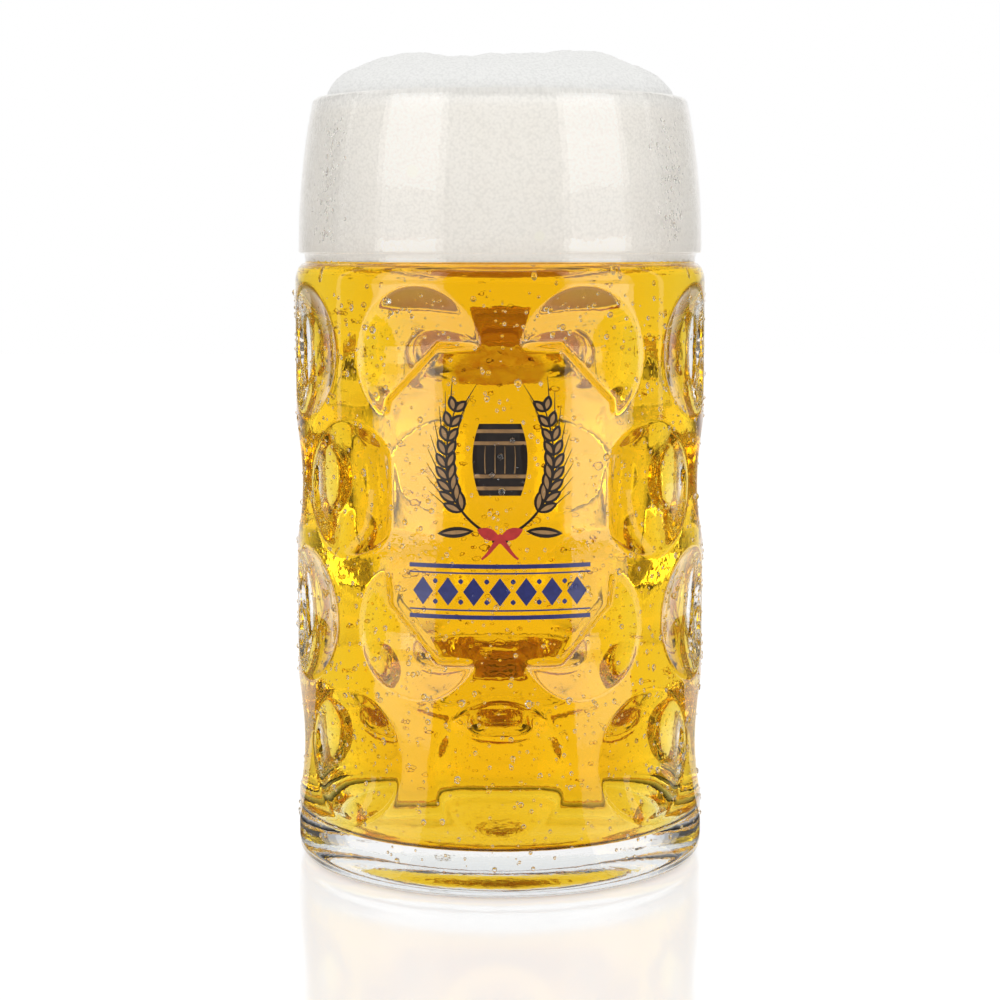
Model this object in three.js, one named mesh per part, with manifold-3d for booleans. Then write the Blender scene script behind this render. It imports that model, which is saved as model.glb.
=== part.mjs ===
// One-litre pressed-glass beer mug: a body dished with round eyes, a loop handle, beer and a foam head.
// Units are millimetres and +Z is up. The origin is on the mug's axis, on the table that it stands on.
// The plain front panel faces -Y and the handle is at +Y.
import * as THREE from "three";
import { mergeVertices } from "three/addons/utils/BufferGeometryUtils.js";
import Module from "manifold-3d";

// Glass body
const MUG_HEIGHT = 205;
const BODY_RADIUS = 55.2;
const WALL = 8.2;
const BASE_THICKNESS = 10.8;
const FLOOR_FILLET = 5.5;
const HEEL_RADIUS = 4.5;
const STAND_RING_WIDTH = 6.5;
const RECESS_DEPTH = 1.4;
const RECESS_SLOPE = 5;

// Collar above the eyes, its drinking lip and the groove under it
const COLLAR_HEIGHT = 41;
const COLLAR_INSET = 1;
const COLLAR_EDGE = 0.6;
const COLLAR_STRAIGHT = 20;
const RIM_INSET = 4.8;
const RIM_WALL = 3.8;
const COLLAR_HOLLOW = 3.4;
const GROOVE_HEIGHT = 2.6;
const GROOVE_DEPTH = 2.7;
const SHOULDER_HEIGHT = 5.3;

// Round dished eyes, in rows that are turned half a pitch to each other
const EYE_ROWS = 4;
const EYES_PER_ROW = 8;
const EYE_RADIUS = 17.3;
const EYE_DEPTH = 4.8;
const EYE_FOOT_BAND = 17;
const EYE_TOP_GAP = 0.5;
const EYE_OVERCUT = 4;

// Plain eight-sided panel in front, with drafted sides where it meets the eyes
const PANEL_WIDTH = 51;
const PANEL_HEIGHT = 79;
const PANEL_CORNER = 12;
const PANEL_DROP = 2.5;
const PANEL_DRAFT = 0.35;

// Handle: two arms that flare into the wall and a grip between them
const HANDLE_REACH = 46;
const HANDLE_WIDTH = 22;
const HANDLE_THICKNESS = 15;
const HANDLE_CORNER = 6.5;
const UPPER_ROOT_DROP = 19;
const LOWER_ROOT_HEIGHT = 44;
const ARM_RISE = 6;
const UPPER_BEND = 26;
const LOWER_BEND = 14;
const FLARE_GROWTH = 4;
const FLARE_LENGTH = 13;
const PAD_MARGIN = 1.5;

// Beer and foam
const BEER_DROP = 2;
const FOAM_RISE = 13.2;
const CROWN_SIDE_POWER = 3.8;
const CROWN_TOP_POWER = 2.5;

// Clearance between pieces that touch
const CLEARANCE = 0.3;

// Facets
const MUG_FACETS = 48;
const DRINK_FACETS = 48;
const EYE_FACETS = 20;
const EYE_RINGS = 3;
const ARC_STEPS = 4;
const COLLAR_STEPS = 4;
const CROWN_STEPS = 8;
const HANDLE_STEPS = 32;
const CORNER_STEPS = 3;
const FLARE_FACETS = 24;
const FLARE_STEPS = 3;
const MERGE_DISTANCE = 1e-4;

// Places worked out from the sizes
const innerRadius = BODY_RADIUS - WALL;
const collarRadius = BODY_RADIUS - COLLAR_INSET;
const rimRadius = BODY_RADIUS - RIM_INSET;
const lipRadius = RIM_WALL / 2;
const lipZ = MUG_HEIGHT - lipRadius;
const collarZ = MUG_HEIGHT - COLLAR_HEIGHT;
const grooveZ = collarZ - GROOVE_HEIGHT;
const grooveRadius = BODY_RADIUS - GROOVE_DEPTH;
const shoulderZ = grooveZ - SHOULDER_HEIGHT;
const beerZ = collarZ - BEER_DROP;
const lowestEyeZ = EYE_FOOT_BAND + EYE_RADIUS;
const highestEyeZ = shoulderZ - EYE_TOP_GAP - EYE_RADIUS;
const eyePitch = (highestEyeZ - lowestEyeZ) / (EYE_ROWS - 1);
const panelZ = lowestEyeZ + 2 * eyePitch - PANEL_DROP;
const upperRootZ = shoulderZ - UPPER_ROOT_DROP;
const gripY = BODY_RADIUS + HANDLE_REACH - HANDLE_THICKNESS / 2;
const armStartY = BODY_RADIUS - WALL / 2;
const flareRadius = HANDLE_THICKNESS / 2 + FLARE_GROWTH;
const widthRatio = HANDLE_WIDTH / HANDLE_THICKNESS;

const wasm = await Module();
wasm.setup();

// Short form for a point of a profile: distance from the axis, then height
function at(radius, height) {
  return new THREE.Vector2(radius, height);
}

// Points of an elliptic arc in a profile, angles in degrees from the outward direction
function arc(center, radiusAcross, radiusUp, fromAngle, toAngle, steps = ARC_STEPS) {
  const start = THREE.MathUtils.degToRad(fromAngle);
  const end = THREE.MathUtils.degToRad(toAngle);
  const curve = new THREE.EllipseCurve(
    center.x, center.y, radiusAcross, radiusUp, start, end, toAngle < fromAngle,
  );
  return curve.getPoints(steps);
}

// Turns a profile about the mug's axis
function revolve(profile, facets) {
  return new THREE.LatheGeometry(profile, facets).rotateX(Math.PI / 2);
}

// A closed geometry as a solid that can be joined and cut
function toSolid(geometry) {
  const bare = geometry.clone();
  bare.deleteAttribute("normal");
  bare.deleteAttribute("uv");
  const merged = mergeVertices(bare, MERGE_DISTANCE);
  return new wasm.Manifold(
    new wasm.Mesh({
      numProp: 3,
      vertProperties: merged.attributes.position.array,
      triVerts: new Uint32Array(merged.index.array),
    }),
  );
}

// A solid as a geometry that a mesh can hold
function toGeometry(solid) {
  const { vertProperties, triVerts } = solid.getMesh();
  const geometry = new THREE.BufferGeometry();
  geometry.setAttribute("position", new THREE.BufferAttribute(vertProperties, 3));
  geometry.setIndex(new THREE.BufferAttribute(triVerts, 1));
  geometry.computeVertexNormals();
  return geometry;
}

// Outside of the glass, from the stand ring up to the drinking lip
function outerSide() {
  const heel = arc(at(BODY_RADIUS - HEEL_RADIUS, HEEL_RADIUS), HEEL_RADIUS, HEEL_RADIUS, -90, 0);
  const shoulder = arc(at(grooveRadius, shoulderZ), GROOVE_DEPTH, SHOULDER_HEIGHT, 0, 90);
  const collar = new THREE.QuadraticBezierCurve(
    at(collarRadius, collarZ + COLLAR_EDGE),
    at(collarRadius, collarZ + COLLAR_STRAIGHT),
    at(rimRadius, lipZ),
  );
  return [
    ...heel,
    ...shoulder,
    at(grooveRadius, collarZ),
    at(collarRadius - COLLAR_EDGE, collarZ),
    ...collar.getPoints(COLLAR_STEPS),
  ];
}

// Inside of the collar, which is hollowed like a barrel, from the beer's surface up to the lip
function collarInside(clearance) {
  const rim = rimRadius - RIM_WALL;
  const belly = (innerRadius + rim) / 2 + COLLAR_HOLLOW;
  const curve = new THREE.QuadraticBezierCurve(
    at(innerRadius - clearance, collarZ),
    at(belly - clearance, (collarZ + lipZ) / 2),
    at(rim - clearance, lipZ),
  );
  return curve.getPoints(COLLAR_STEPS);
}

// Floor of the hollow with its rounded corner, from the axis out to the wall
function floorInside(clearance) {
  const fillet = FLOOR_FILLET - clearance;
  const corner = at(innerRadius - FLOOR_FILLET, BASE_THICKNESS + FLOOR_FILLET);
  return [at(0, BASE_THICKNESS + clearance), ...arc(corner, fillet, fillet, -90, 0)];
}

// One eye: a shallow bowl whose outline is round on the curved wall. It is narrower in curvature
// across than up the wall, by a stretch that makes its sides leave the wall at the same radius.
function eyeBowl() {
  const bowl = (EYE_RADIUS ** 2 + EYE_DEPTH ** 2) / (2 * EYE_DEPTH);
  const wallSag = BODY_RADIUS - Math.sqrt(BODY_RADIUS ** 2 - EYE_RADIUS ** 2);
  const sideCosine = (bowl - EYE_DEPTH + wallSag) / bowl;
  const stretch = EYE_RADIUS / (bowl * Math.sqrt(1 - sideCosine ** 2));
  const rimAngle = THREE.MathUtils.radToDeg(Math.asin(EYE_RADIUS / bowl)) + EYE_OVERCUT;
  const side = arc(at(0, bowl - EYE_DEPTH), bowl, bowl, -90, rimAngle - 90, EYE_RINGS);
  const profile = [...side, at(0, side.at(-1).y)];
  return new THREE.LatheGeometry(profile, EYE_FACETS).scale(stretch, 1, 1);
}

// All the eyes, turned half a pitch from row to row
function eyePattern() {
  const bowl = eyeBowl().translate(0, BODY_RADIUS, 0);
  const step = (2 * Math.PI) / EYES_PER_ROW;
  const eyes = [];
  for (let row = 0; row < EYE_ROWS; row += 1) {
    const turn = (row % 2) / 2;
    for (let place = 0; place < EYES_PER_ROW; place += 1) {
      const eye = bowl.clone().translate(0, 0, lowestEyeZ + row * eyePitch);
      eyes.push(toSolid(eye.rotateZ((place + turn) * step)));
    }
  }
  return eyes.reduce((all, eye) => all.add(eye));
}

// Block under the front panel, where no eye is pressed: eight-sided, and wider towards the axis
function panelBlock() {
  const halfWidth = PANEL_WIDTH / 2;
  const halfHeight = PANEL_HEIGHT / 2;
  const outline = new THREE.Shape([
    at(halfWidth, PANEL_CORNER - halfHeight),
    at(halfWidth, halfHeight - PANEL_CORNER),
    at(halfWidth - PANEL_CORNER, halfHeight),
    at(PANEL_CORNER - halfWidth, halfHeight),
    at(-halfWidth, halfHeight - PANEL_CORNER),
    at(-halfWidth, PANEL_CORNER - halfHeight),
    at(PANEL_CORNER - halfWidth, -halfHeight),
    at(halfWidth - PANEL_CORNER, -halfHeight),
  ]);
  const drafted = BODY_RADIUS / 2;
  const block = new THREE.ExtrudeGeometry(outline, {
    depth: WALL,
    bevelSegments: 1,
    bevelThickness: drafted,
    bevelSize: drafted * PANEL_DRAFT,
  });
  const front = WALL + drafted;
  return block.translate(0, 0, BODY_RADIUS - front).rotateX(Math.PI / 2).translate(0, 0, panelZ);
}

// Plain pad of the wall under a handle root, where no eye is pressed
function rootPad(height) {
  const radius = flareRadius + PAD_MARGIN;
  const pad = new THREE.CylinderGeometry(radius, radius, 2 * WALL, FLARE_FACETS);
  return pad.scale(widthRatio, 1, 1).translate(0, BODY_RADIUS, height);
}

function mugBody() {
  const ringOuter = BODY_RADIUS - HEEL_RADIUS;
  const ringInner = ringOuter - STAND_RING_WIDTH;
  const lip = arc(at(rimRadius - lipRadius, lipZ), lipRadius, lipRadius, 0, 180);
  const inside = [...floorInside(0), ...collarInside(0).slice(0, -1)];
  const profile = [
    at(0, RECESS_DEPTH),
    at(ringInner - RECESS_SLOPE, RECESS_DEPTH),
    at(ringInner, 0),
    ...outerSide().slice(0, -1),
    ...lip,
    ...inside.reverse(),
  ];
  const eyes = eyePattern()
    .subtract(toSolid(panelBlock()))
    .subtract(toSolid(rootPad(upperRootZ)))
    .subtract(toSolid(rootPad(LOWER_ROOT_HEIGHT)));
  return toGeometry(toSolid(revolve(profile, MUG_FACETS)).subtract(eyes));
}

// Centre line of the handle: the upper arm out to the grip, then the grip down and in to the lower root
function handlePath() {
  const point = (y, z) => new THREE.Vector3(0, y, z);
  const middle = (armStartY + gripY) / 2;
  const gripTop = point(gripY, upperRootZ - UPPER_BEND);
  const path = new THREE.CurvePath();
  path.add(new THREE.CubicBezierCurve3(
    point(armStartY, upperRootZ),
    point(middle + ARM_RISE, upperRootZ + ARM_RISE),
    point(gripY, upperRootZ),
    gripTop,
  ));
  path.add(new THREE.CubicBezierCurve3(
    gripTop,
    point(gripY, LOWER_ROOT_HEIGHT + LOWER_BEND),
    point(middle, LOWER_ROOT_HEIGHT + ARM_RISE),
    point(armStartY, LOWER_ROOT_HEIGHT),
  ));
  return path;
}

// Section of the handle, with rounded corners
function handleSection() {
  const corner = Math.min(HANDLE_CORNER, HANDLE_THICKNESS / 2.1, HANDLE_WIDTH / 2.1);
  const across = HANDLE_WIDTH / 2 - corner;
  const up = HANDLE_THICKNESS / 2 - corner;
  const quarter = Math.PI / 2;
  const section = new THREE.Shape();
  section.absarc(across, up, corner, 0, quarter);
  section.absarc(-across, up, corner, quarter, 2 * quarter);
  section.absarc(-across, -up, corner, 2 * quarter, 3 * quarter);
  section.absarc(across, -up, corner, 3 * quarter, 4 * quarter);
  return section;
}

// Flare by which an arm of the handle spreads into the wall, along the arm's own direction
function rootFlare(height, outward) {
  const curve = new THREE.QuadraticBezierCurve(
    at(flareRadius, 0),
    at(HANDLE_THICKNESS / 2, FLARE_LENGTH / 3),
    at(HANDLE_THICKNESS / 2, FLARE_LENGTH),
  );
  const profile = [
    at(0, -WALL),
    at(flareRadius, -WALL),
    ...curve.getPoints(FLARE_STEPS),
    at(0, FLARE_LENGTH),
  ];
  const flare = new THREE.LatheGeometry(profile, FLARE_FACETS).scale(widthRatio, 1, 1);
  return flare.rotateX(Math.atan2(outward.z, outward.y)).translate(0, BODY_RADIUS, height);
}

function handle() {
  const path = handlePath();
  const loop = new THREE.ExtrudeGeometry(handleSection(), {
    steps: HANDLE_STEPS,
    curveSegments: CORNER_STEPS,
    extrudePath: path,
  });
  const seat = outerSide().map((point) => at(point.x + CLEARANCE, point.y));
  const seatProfile = [at(0, seat[0].y), ...seat, at(0, seat.at(-1).y)];
  const glass = toSolid(loop)
    .add(toSolid(rootFlare(upperRootZ, path.getTangent(0))))
    .add(toSolid(rootFlare(LOWER_ROOT_HEIGHT, path.getTangent(1).negate())))
    .subtract(toSolid(revolve(seatProfile, MUG_FACETS)));
  return toGeometry(glass);
}

function beer() {
  const surface = at(innerRadius - CLEARANCE, beerZ);
  return revolve([...floorInside(CLEARANCE), surface, at(0, beerZ)], DRINK_FACETS);
}

// Foam: it fills the collar and stands over the rim in a flat-topped crown
function foamHead() {
  const bottom = beerZ + CLEARANCE;
  const sides = collarInside(CLEARANCE);
  const rim = sides.at(-1);
  const crownHeight = MUG_HEIGHT + FOAM_RISE - rim.y;
  const crown = [];
  for (let step = 1; step < CROWN_STEPS; step += 1) {
    const slope = (step / CROWN_STEPS) * (Math.PI / 2);
    const radius = rim.x * Math.cos(slope) ** (2 / CROWN_SIDE_POWER);
    const height = crownHeight * Math.sin(slope) ** (2 / CROWN_TOP_POWER);
    crown.push(at(radius, rim.y + height));
  }
  const profile = [
    at(0, bottom),
    at(innerRadius - CLEARANCE, bottom),
    ...sides,
    ...crown,
    at(0, rim.y + crownHeight),
  ];
  return revolve(profile, DRINK_FACETS);
}

function piece(name, geometry, material) {
  const mesh = new THREE.Mesh(geometry, new THREE.MeshStandardMaterial(material));
  mesh.name = name;
  return mesh;
}

const clearGlass = { color: 0xe9eeee, roughness: 0.04, metalness: 0, transparent: true, opacity: 0.45 };
const glassware = new THREE.Group();
glassware.add(piece("mug_body", mugBody(), clearGlass));
glassware.add(piece("handle", handle(), clearGlass));

const drink = new THREE.Group();
drink.add(piece("beer", beer(), { color: 0xf0b41e, roughness: 0.05, metalness: 0 }));
drink.add(piece("foam_head", foamHead(), { color: 0xf3f1ea, roughness: 0.85, metalness: 0 }));

const beerMug = new THREE.Group();
beerMug.add(glassware, drink);

export default beerMug;
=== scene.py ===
"""Looks of a one-litre glass beer mug: dished glass, loop handle, golden beer, foam, print and drops.

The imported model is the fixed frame. Lengths are millimetres and become metres where an object is made;
only the finishes state theirs in metres, as their nodes read them. +Z is up, the front panel faces -Y and
the handle is at +Y. An angle round the mug is counted from the front, towards +X.
"""

import logging
import math
import random
from collections.abc import Iterator
from dataclasses import dataclass, field
from enum import Enum

import bmesh
import bpy
import numpy as np
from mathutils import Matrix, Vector, noise


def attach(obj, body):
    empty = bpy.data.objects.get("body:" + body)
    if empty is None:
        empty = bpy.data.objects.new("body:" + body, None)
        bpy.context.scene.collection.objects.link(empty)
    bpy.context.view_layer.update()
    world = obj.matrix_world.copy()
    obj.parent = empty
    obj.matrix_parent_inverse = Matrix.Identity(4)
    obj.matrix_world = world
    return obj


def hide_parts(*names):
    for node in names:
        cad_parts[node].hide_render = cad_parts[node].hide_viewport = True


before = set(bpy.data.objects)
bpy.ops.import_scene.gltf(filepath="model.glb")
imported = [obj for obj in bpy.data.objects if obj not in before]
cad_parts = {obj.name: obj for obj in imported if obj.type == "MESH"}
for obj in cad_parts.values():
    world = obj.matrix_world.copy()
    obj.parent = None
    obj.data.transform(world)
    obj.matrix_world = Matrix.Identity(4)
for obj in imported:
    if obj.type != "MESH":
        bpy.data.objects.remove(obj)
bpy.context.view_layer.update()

LOG = logging.getLogger("beer_mug")
MM = 0.001
BODY = "root"
WHITE = (1.0, 1.0, 1.0)
GLASS_IOR = 1.5
BEER_IOR = 1.34
WATER_IOR = 1.33
BUBBLE_IOR = 1.4

Point = tuple[float, float]
Color = tuple[float, float, float]
Face = tuple[int, ...]
Piece = bpy.types.Object
Material = bpy.types.Material
Node = bpy.types.Node
Socket = bpy.types.NodeSocket
Value = float | Color | Socket


class Slot(str, Enum):
    """Material slots of the record."""

    GLASS = "clear_glass"
    BEER = "golden_beer"
    FOAM = "white_foam"
    PRINT = "enamel_print"
    WATER = "water_drops"


class Ink(Enum):
    """Enamel colours of the front print, as linear red, green and blue."""

    BROWN = (0.022, 0.012, 0.008)
    GOLD = (0.36, 0.2, 0.075)
    RED = (0.5, 0.03, 0.025)
    NAVY = (0.025, 0.03, 0.16)


# Curves and meshes


def curve(steps: int, *points: Point) -> np.ndarray:
    """Points of a straight line, or of a curve that leans to the points between its ends.

    Args:
        steps: Number of steps.
        points: The first point, up to two points that steer the curve, and the last point.

    Returns:
        Array of points.
    """
    share = np.linspace(0.0, 1.0, steps + 1)[:, None]
    rows = [np.asarray(point) for point in points]
    while len(rows) > 1:
        rows = [start * (1.0 - share) + end * share for start, end in zip(rows, rows[1:])]
    return rows[0]


def arc(steps: int, center: Point, radii: Point, start: float, end: float) -> np.ndarray:
    """Points of an elliptic arc.

    Args:
        steps: Number of equal steps.
        center: The arc's centre.
        radii: Half axes, across and up.
        start: First angle in degrees, counted from the outward direction.
        end: Last angle in degrees.

    Returns:
        Array of points.
    """
    angle = np.radians(np.linspace(start, end, steps + 1))
    return np.asarray(center) + np.asarray(radii) * np.stack([np.cos(angle), np.sin(angle)], axis=1)


def directions(points: np.ndarray) -> np.ndarray:
    """Unit directions along a row of points."""
    along = np.gradient(points, axis=0)
    return along / np.linalg.norm(along, axis=1, keepdims=True)


def smooth_step(low: float, high: float, value: np.ndarray) -> np.ndarray:
    """Eases from 0 at low to 1 at high."""
    share = np.clip((value - low) / (high - low), 0.0, 1.0)
    return share * share * (3.0 - 2.0 * share)


def soft_positive(value: np.ndarray, rounding: float) -> np.ndarray:
    """The positive part of value, with its corner rounded over the given reach."""
    near = np.maximum(rounding - np.abs(value), 0.0)
    return np.maximum(value, 0.0) + near * near / (4.0 * rounding)


def wrap(angle: np.ndarray) -> np.ndarray:
    """Brings angles into the half turn to either side of zero."""
    return (angle + np.pi) % (2.0 * np.pi) - np.pi


def turns(count: int) -> np.ndarray:
    """Angles of equal steps round a full turn."""
    return np.arange(count) * (2.0 * np.pi / count)


def round_axis(radius: np.ndarray, angle: np.ndarray, height: np.ndarray) -> np.ndarray:
    """Places at a distance from the mug's axis, an angle from the front and a height."""
    places = np.broadcast_arrays(radius * np.sin(angle), -radius * np.cos(angle), height)
    return np.stack(places, axis=-1)


def spin(profile: np.ndarray, around: int) -> tuple[np.ndarray, np.ndarray, np.ndarray]:
    """Turns a profile round the axis.

    Args:
        profile: Radius and height of each row.
        around: Number of points round each row.

    Returns:
        Angle, radius and height of each point, row after row.
    """
    angle = np.tile(turns(around), (len(profile), 1))
    radius = np.repeat(profile[:, :1], around, axis=1)
    height = np.repeat(profile[:, 1:], around, axis=1)
    return angle, radius, height


def new_object(name: str, data: bpy.types.ID) -> Piece:
    """Links a mesh, lamp or camera to the scene.

    Args:
        name: Name of the object.
        data: What it holds.

    Returns:
        The new object.
    """
    piece = bpy.data.objects.new(name, data)
    bpy.context.scene.collection.objects.link(piece)
    return piece


def mesh_object(name: str, points: np.ndarray, faces: list[Face], smooth: bool = True) -> Piece:
    """Makes an object from points in millimetres.

    Args:
        name: Name of the piece.
        points: Array of x, y and z in millimetres.
        faces: Corner indices of each face.
        smooth: Whether the faces are shaded smooth.

    Returns:
        The new object.
    """
    mesh = bpy.data.meshes.new(name)
    mesh.from_pydata((np.asarray(points) * MM).tolist(), [], faces)
    mesh.update()
    if smooth:
        mesh.shade_smooth()
    return new_object(name, mesh)


def ring_faces(rings: int, around: int) -> list[Face]:
    """Quads between successive closed rings of points.

    Args:
        rings: Number of rings.
        around: Number of points in each ring.

    Returns:
        Corner indices of each face.
    """
    faces = []
    for low in range(0, (rings - 1) * around, around):
        high = low + around
        for place in range(around):
            after = (place + 1) % around
            faces.append((low + place, low + after, high + after, high + place))
    return faces


def closed_faces(rings: int, around: int) -> list[Face]:
    """Faces of a body of rings that closes on a tip at each end; the two tips come after the rings.

    Args:
        rings: Number of rings.
        around: Number of points in each ring.

    Returns:
        Corner indices of each face.
    """
    faces = ring_faces(rings, around)
    first_tip = rings * around
    last_ring = first_tip - around
    for place in range(around):
        after = (place + 1) % around
        faces.append((first_tip, after, place))
        faces.append((last_ring + place, last_ring + after, first_tip + 1))
    return faces


def turned_object(name: str, radius: np.ndarray, height: np.ndarray) -> Piece:
    """Makes a closed body of revolution whose radius may vary round it.

    Args:
        name: Name of the piece.
        radius: Radius of each row at each angle; the first and last rows lie on the axis.
        height: Height of each row at each angle.

    Returns:
        The new object.
    """
    rows, around = radius.shape
    rings = round_axis(radius, turns(around), height)[1:-1].reshape(-1, 3)
    tips = [(0.0, 0.0, height[0].mean()), (0.0, 0.0, height[-1].mean())]
    return mesh_object(name, np.concatenate([rings, tips]), closed_faces(rows - 2, around))


def scattered_object(name: str, shapes: list[np.ndarray], faces: list[Face]) -> Piece:
    """Makes one object of many small bodies with the same faces.

    Args:
        name: Name of the piece.
        shapes: Points of each body.
        faces: Corner indices of each face of one body.

    Returns:
        The new object.
    """
    every = []
    for number, shape in enumerate(shapes):
        first = number * len(shape)
        every += [tuple(first + corner for corner in face) for face in faces]
    return mesh_object(name, np.concatenate(shapes), every)


def aim_at(piece: Piece, place: Vector, aim: Vector) -> None:
    """Puts a lamp or camera at a place in millimetres, so that it faces another."""
    piece.location = place * MM
    piece.rotation_euler = (aim - place).to_track_quat("-Z", "Y").to_euler()


# Shapes of the wall, shared by the glass, the handle, the beer, the foam, the drops and the print


@dataclass(frozen=True)
class Wall:
    """Sizes of the vessel and the relief pressed into its wall.

    The sizes are those of the solids in the frame; the soft edges, the swellings inside the wall and the
    hollow under the base are finer than the solids.
    """

    height: float = 205.0
    radius: float = 55.2
    inner_radius: float = 47.0
    inner_rows: int = 168
    outer_rows: int = 250
    floor: float = 10.8
    floor_fillet: float = 5.5
    heel: float = 4.5
    ring_inner: float = 44.2
    hollow_depth: float = 3.1
    hollow_slope: float = 18.0
    hollow_lean: float = 0.72
    collar: float = 164.0
    collar_radius: float = 54.2
    collar_root: float = 0.7
    collar_edge: float = 0.6
    collar_straight: float = 20.0
    collar_belly: float = 50.2
    rim_radius: float = 50.4
    rim_wall: float = 3.8
    groove: float = 161.4
    groove_edge: float = 0.4
    groove_radius: float = 52.5
    shoulder: float = 156.1
    beer_surface: float = 162.0
    eye_rows: int = 4
    eyes_per_row: int = 8
    eye_radius: float = 17.3
    eye_depth: float = 4.8
    eye_lowest: float = 34.3
    eye_highest: float = 138.3
    eye_edge: float = 0.4
    swelling: float = 1.6
    swelling_radius: float = 15.0
    panel_half_width: float = 29.0
    panel_half_height: float = 38.6
    panel_corner: float = 13.0
    panel_center: float = 101.2
    panel_side: float = 2.4
    upper_root: float = 137.1
    lower_root: float = 44.0
    pad_half_width: float = 19.0
    pad_half_height: float = 13.0
    pad_side: float = 2.0
    normal_step: float = 0.2

    @property
    def lip(self) -> float:
        """Height at which the rounded drinking lip starts."""
        return self.height - self.rim_wall / 2.0

    def eyes(self) -> Iterator[Point]:
        """Places the eyes in rows, each row turned half a pitch from the next.

        Returns:
            Angle and height of each eye's centre.
        """
        step = 2.0 * math.pi / self.eyes_per_row
        pitch = (self.eye_highest - self.eye_lowest) / (self.eye_rows - 1)
        for row in range(self.eye_rows):
            for place in range(self.eyes_per_row):
                yield (place + row % 2 / 2.0) * step, self.eye_lowest + row * pitch

    def nearness(self, angle: np.ndarray, height: np.ndarray, reach: float) -> Iterator[np.ndarray]:
        """Tells for each eye how near places of the wall are to its centre.

        Args:
            angle: Angles round the mug.
            height: Heights, of the same shape.
            reach: Distance at which an eye's nearness is 0.

        Returns:
            Values for each eye: 1 at its centre, negative past its reach.
        """
        for eye_angle, eye_height in self.eyes():
            across = wrap(angle - eye_angle) * self.radius
            yield 1.0 - (across**2 + (height - eye_height) ** 2) / reach**2

    def plain(self, angle: np.ndarray, height: np.ndarray) -> np.ndarray:
        """How far the wall is free for eyes.

        Args:
            angle: Angles round the mug.
            height: Heights, of the same shape.

        Returns:
            0 on the front panel and on the handle's pads, 1 elsewhere, with a soft change between.
        """
        past_side = np.abs(wrap(angle)) * self.radius - self.panel_half_width
        past_end = np.abs(height - self.panel_center) - self.panel_half_height
        past_corner = (past_side + past_end + self.panel_corner) / math.sqrt(2.0)
        free = smooth_step(0.0, self.panel_side, np.maximum(np.maximum(past_side, past_end), past_corner))
        behind = wrap(angle - np.pi) * self.radius
        for root in (self.upper_root, self.lower_root):
            reach = np.hypot(behind / self.pad_half_width, (height - root) / self.pad_half_height)
            free = free * smooth_step(0.0, self.pad_side, (reach - 1.0) * self.pad_half_height)
        return free

    def dish(self, angle: np.ndarray, height: np.ndarray) -> np.ndarray:
        """Depth of the eyes below the plain outside of the wall."""
        depths = (self.eye_depth * near for near in self.nearness(angle, height, self.eye_radius))
        return np.max([soft_positive(d, self.eye_edge) for d in depths], axis=0) * self.plain(angle, height)

    def swell(self, angle: np.ndarray, height: np.ndarray) -> np.ndarray:
        """How far the inside of the wall swells in behind each eye."""
        near = sum(np.maximum(n, 0.0) ** 2 for n in self.nearness(angle, height, self.swelling_radius))
        return self.swelling * near * self.plain(angle, height)

    def underside(self) -> np.ndarray:
        """Profile of the hollow and the stand ring under the base, from the axis out to the heel.

        Returns:
            Array of radius and height.
        """
        flat = (self.ring_inner - self.hollow_slope, self.hollow_depth)
        lean = (self.ring_inner - self.hollow_lean * self.hollow_slope, self.hollow_depth)
        ring = (self.ring_inner, 0.0)
        return np.concatenate([
            curve(8, (0.0, self.hollow_depth), flat),
            curve(14, flat, lean, ring)[1:],
            curve(4, ring, (self.radius - self.heel, 0.0))[1:-1],
        ])

    def outside(self) -> np.ndarray:
        """Profile of the plain outside, from the stand ring up to the lip.

        Returns:
            Array of radius and height.
        """
        groove, collar = self.groove_radius, self.collar_radius
        return np.concatenate([
            arc(10, (self.radius - self.heel, self.heel), (self.heel, self.heel), -90, 0),
            curve(self.outer_rows, (self.radius, self.heel), (self.radius, self.shoulder))[1:],
            arc(12, (groove, self.shoulder), (self.radius - groove, self.groove - self.shoulder), 0, 90)[1:],
            curve(4, (groove, self.groove + self.groove_edge), (groove, self.collar),
                  (groove + self.collar_root, self.collar)),
            curve(4, (collar - self.collar_edge, self.collar), (collar, self.collar),
                  (collar, self.collar + self.collar_edge)),
            curve(30, (collar, self.collar + 2.0 * self.collar_edge),
                  (collar, self.collar + self.collar_straight), (self.rim_radius, self.lip)),
        ])

    def collar_inside(self, grow: float = 0.0) -> np.ndarray:
        """Profile of the barrel-shaped inside of the collar, from its foot up to the lip.

        Args:
            grow: How much wider it is than the glass.

        Returns:
            Array of radius and height.
        """
        belly = (self.collar_belly, (self.collar + self.lip) / 2.0)
        rim = (self.rim_radius - self.rim_wall, self.lip)
        return curve(24, (self.inner_radius, self.collar), belly, rim) + (grow, 0.0)

    def bowl_inside(self, grow: float = 0.0) -> np.ndarray:
        """Profile of the inside from the axis, over the floor and its corner, up to the beer's surface.

        Args:
            grow: How much wider and deeper it is than the glass.

        Returns:
            Array of radius and height.
        """
        corner = (self.inner_radius - self.floor_fillet, self.floor + self.floor_fillet)
        fillet = self.floor_fillet + grow
        side = self.inner_radius + grow
        return np.concatenate([
            curve(8, (0.0, self.floor - grow), (corner[0], self.floor - grow)),
            arc(14, corner, (fillet, fillet), -90, 0)[1:],
            curve(self.inner_rows, (side, corner[1]), (side, self.beer_surface))[1:],
        ])

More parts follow.
